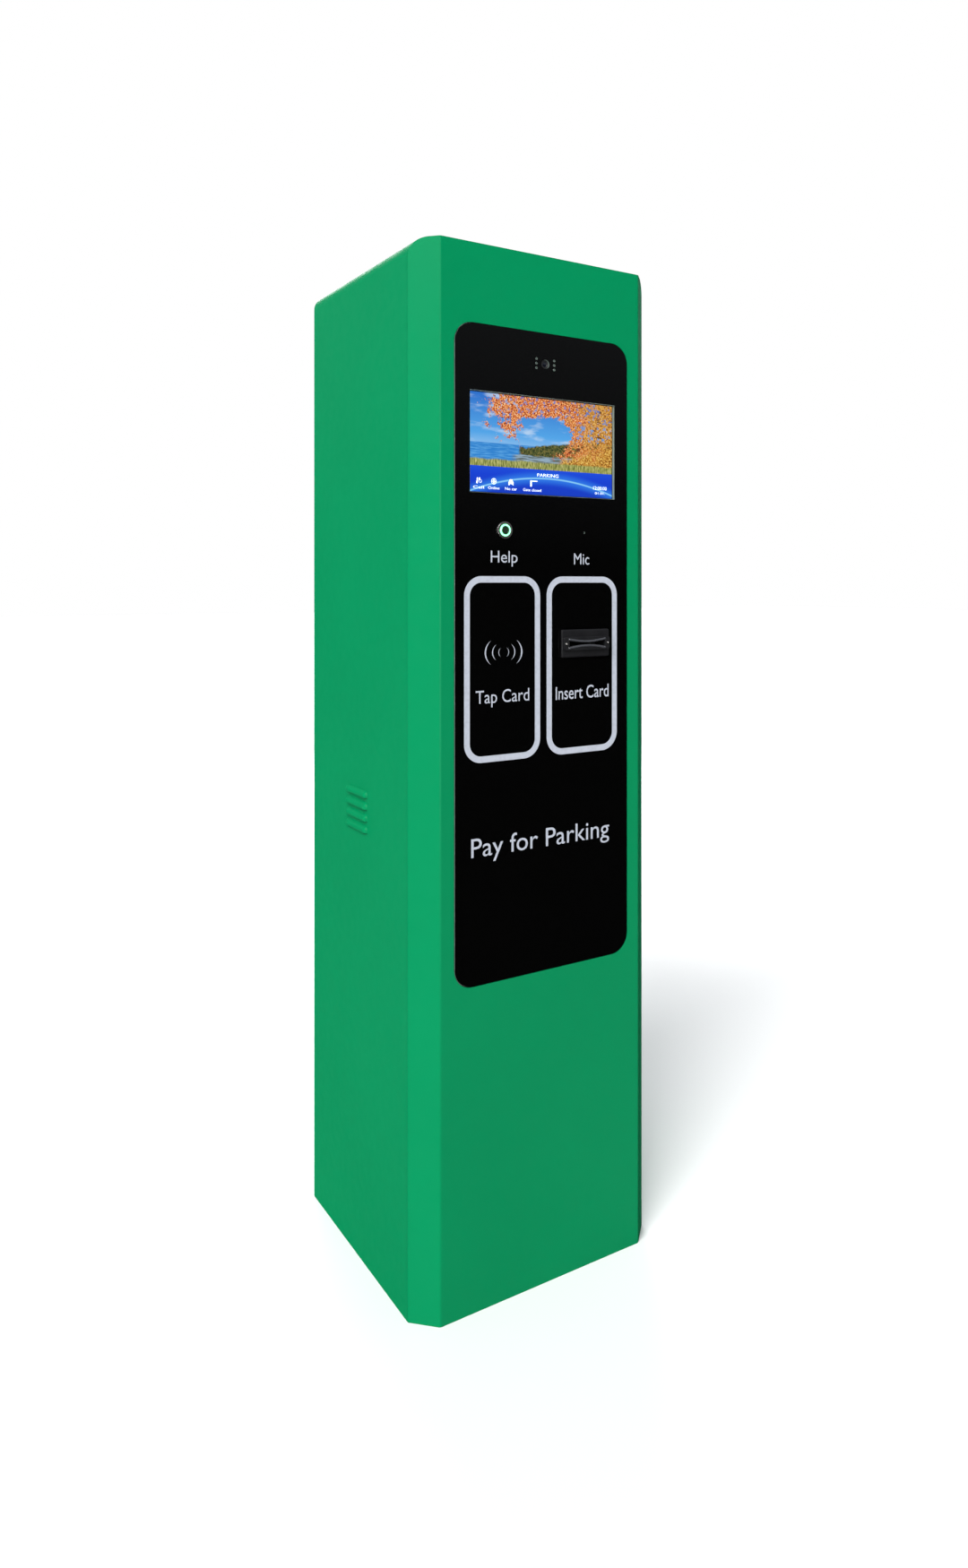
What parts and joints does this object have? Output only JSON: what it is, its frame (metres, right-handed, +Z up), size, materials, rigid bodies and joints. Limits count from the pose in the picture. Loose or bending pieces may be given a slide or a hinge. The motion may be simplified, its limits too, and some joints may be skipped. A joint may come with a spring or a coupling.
{
  "type": "parking pay station",
  "caption": "Column pay station: folded steel cabinet with black fascia, screen, camera, help button, contactless and card readers, side louvres and a locked rear service door.",
  "frame": {"origin": "middle of the cabinet footprint, on the floor", "axes": "+Z up, the fascia faces -Y, +X to the right as the user sees it"},
  "size_m": [0.379, 0.362, 1.35],
  "materials": {
    "powder_coat": "fine textured green powder coat",
    "frame_coat": "fine textured green powder coat",
    "zinc_steel": "zinc plated",
    "black_panel": "gloss acrylic, back printed",
    "foam": "closed cell foam",
    "screen": "lit display behind glass",
    "tinplate": "pressed, satin",
    "circuit_board": "solder mask",
    "black_plastic": "moulded, fine grain",
    "lens": "coated",
    "clear_plastic": "clear",
    "stainless": "turned and brushed",
    "lit_ring": "translucent, lit",
    "rubber": "moulded",
    "light_grey_plastic": "moulded",
    "grey_plastic": "moulded",
    "blue_plastic": "moulded",
    "aluminium": "extruded",
    "dark_metal": "satin powder coat",
    "bronze": "sintered",
    "belt": "toothed",
    "cable_jacket": "extruded"
  },
  "bodies": {
    "cabinet": {"base_tray": "zinc_steel", "body_shell": "powder_coat", "front_shell": "powder_coat", "rear_frame": "frame_coat", "hinge_pins": "stainless", "fascia_panel": "black_panel", "fascia_gasket": "foam", "fascia_carrier": "zinc_steel", "fascia_fixings": "zinc_steel", "lcd_glass": "screen", "lcd_housing": "tinplate", "lcd_clips": "zinc_steel", "lcd_board": "circuit_board", "camera_board": "circuit_board", "camera_barrel": "black_plastic", "camera_glass": "lens", "ir_lamps": "clear_plastic", "button_body": "stainless", "button_ring": "lit_ring", "button_nut": "stainless", "button_spring": "stainless", "microphone": "rubber", "nfc_housing": "black_plastic", "nfc_board": "circuit_board", "card_bezel": "black_plastic", "card_chassis": "tinplate", "card_guides": "black_plastic", "reader_board": "circuit_board", "feed_motor": "tinplate", "drive_belt": "belt", "equipment_rails": "zinc_steel", "equipment_plate": "zinc_steel", "din_rail": "zinc_steel", "circuit_breaker": "light_grey_plastic", "terminal_blocks": "grey_plastic", "power_supply": "tinplate", "controller_box": "dark_metal", "controller_heatsink": "aluminium", "cable_duct": "grey_plastic", "speaker": "black_plastic", "wiring": "cable_jacket", "fan_frame": "black_plastic", "fan_guard": "stainless", "side_fixings": "zinc_steel", "plate_bolts": "zinc_steel", "bin_bracket": "zinc_steel"},
    "door": {"door_panel": "powder_coat", "door_seal": "rubber", "hinge_bushes": "bronze", "lock_housing": "stainless", "lock_nut": "zinc_steel"},
    "lock": {"lock_core": "stainless", "lock_cam": "zinc_steel"},
    "help_cap": {"button_cap": "stainless"},
    "front_roller": {"feed_roller_front": "rubber"},
    "rear_roller": {"feed_roller_rear": "rubber"},
    "motor_shaft": {"motor_pulley": "aluminium"},
    "breaker_switch": {"breaker_lever": "blue_plastic"},
    "fan_blades": {"fan_rotor": "black_plastic"},
    "captured_card_bin": {"card_bin": "tinplate"}
  },
  "joints": [
    {"name": "door_hinge", "type": "hinge", "parent": "cabinet", "child": "door", "pos_m": [-0.165, 0.1685, 0.7], "axis": [0, 0, 1], "range_deg": [0, 115]},
    {"name": "lock_turn", "type": "hinge", "parent": "door", "child": "lock", "pos_m": [0.138, 0.16, 0.7], "axis": [0, -1, 0], "range_deg": [0, 90]},
    {"name": "help_press", "type": "slide", "parent": "cabinet", "child": "help_cap", "axis": [0, 1, 0], "range_m": [0, 0.0018], "stiffness_N_per_m": 900, "springref_m": -0.002},
    {"name": "front_roller_spin", "type": "hinge", "parent": "cabinet", "child": "front_roller", "pos_m": [0.0625, -0.135, 0.8325], "axis": [1, 0, 0], "continuous": true},
    {"name": "rear_roller_spin", "type": "hinge", "parent": "cabinet", "child": "rear_roller", "pos_m": [0.0625, -0.055, 0.8325], "axis": [1, 0, 0], "continuous": true},
    {"name": "motor_shaft_spin", "type": "hinge", "parent": "cabinet", "child": "motor_shaft", "pos_m": [0.0625, -0.095, 0.8465], "axis": [1, 0, 0], "continuous": true},
    {"name": "breaker_toggle", "type": "hinge", "parent": "cabinet", "child": "breaker_switch", "pos_m": [-0.112, 0.117, 0.545], "axis": [1, 0, 0], "range_deg": [-70, 0]},
    {"name": "fan_spin", "type": "hinge", "parent": "cabinet", "child": "fan_blades", "pos_m": [-0.172, 0.013, 0.61], "axis": [1, 0, 0], "continuous": true},
    {"name": "bin_lift", "type": "slide", "parent": "cabinet", "child": "captured_card_bin", "axis": [0, 0, 1], "range_m": [0, 0.04]}
  ],
  "couplings": [
    {"joint": "rear_roller_spin", "follows": "front_roller_spin", "ratio": 1},
    {"joint": "motor_shaft_spin", "follows": "front_roller_spin", "ratio": 1.75}
  ]
}
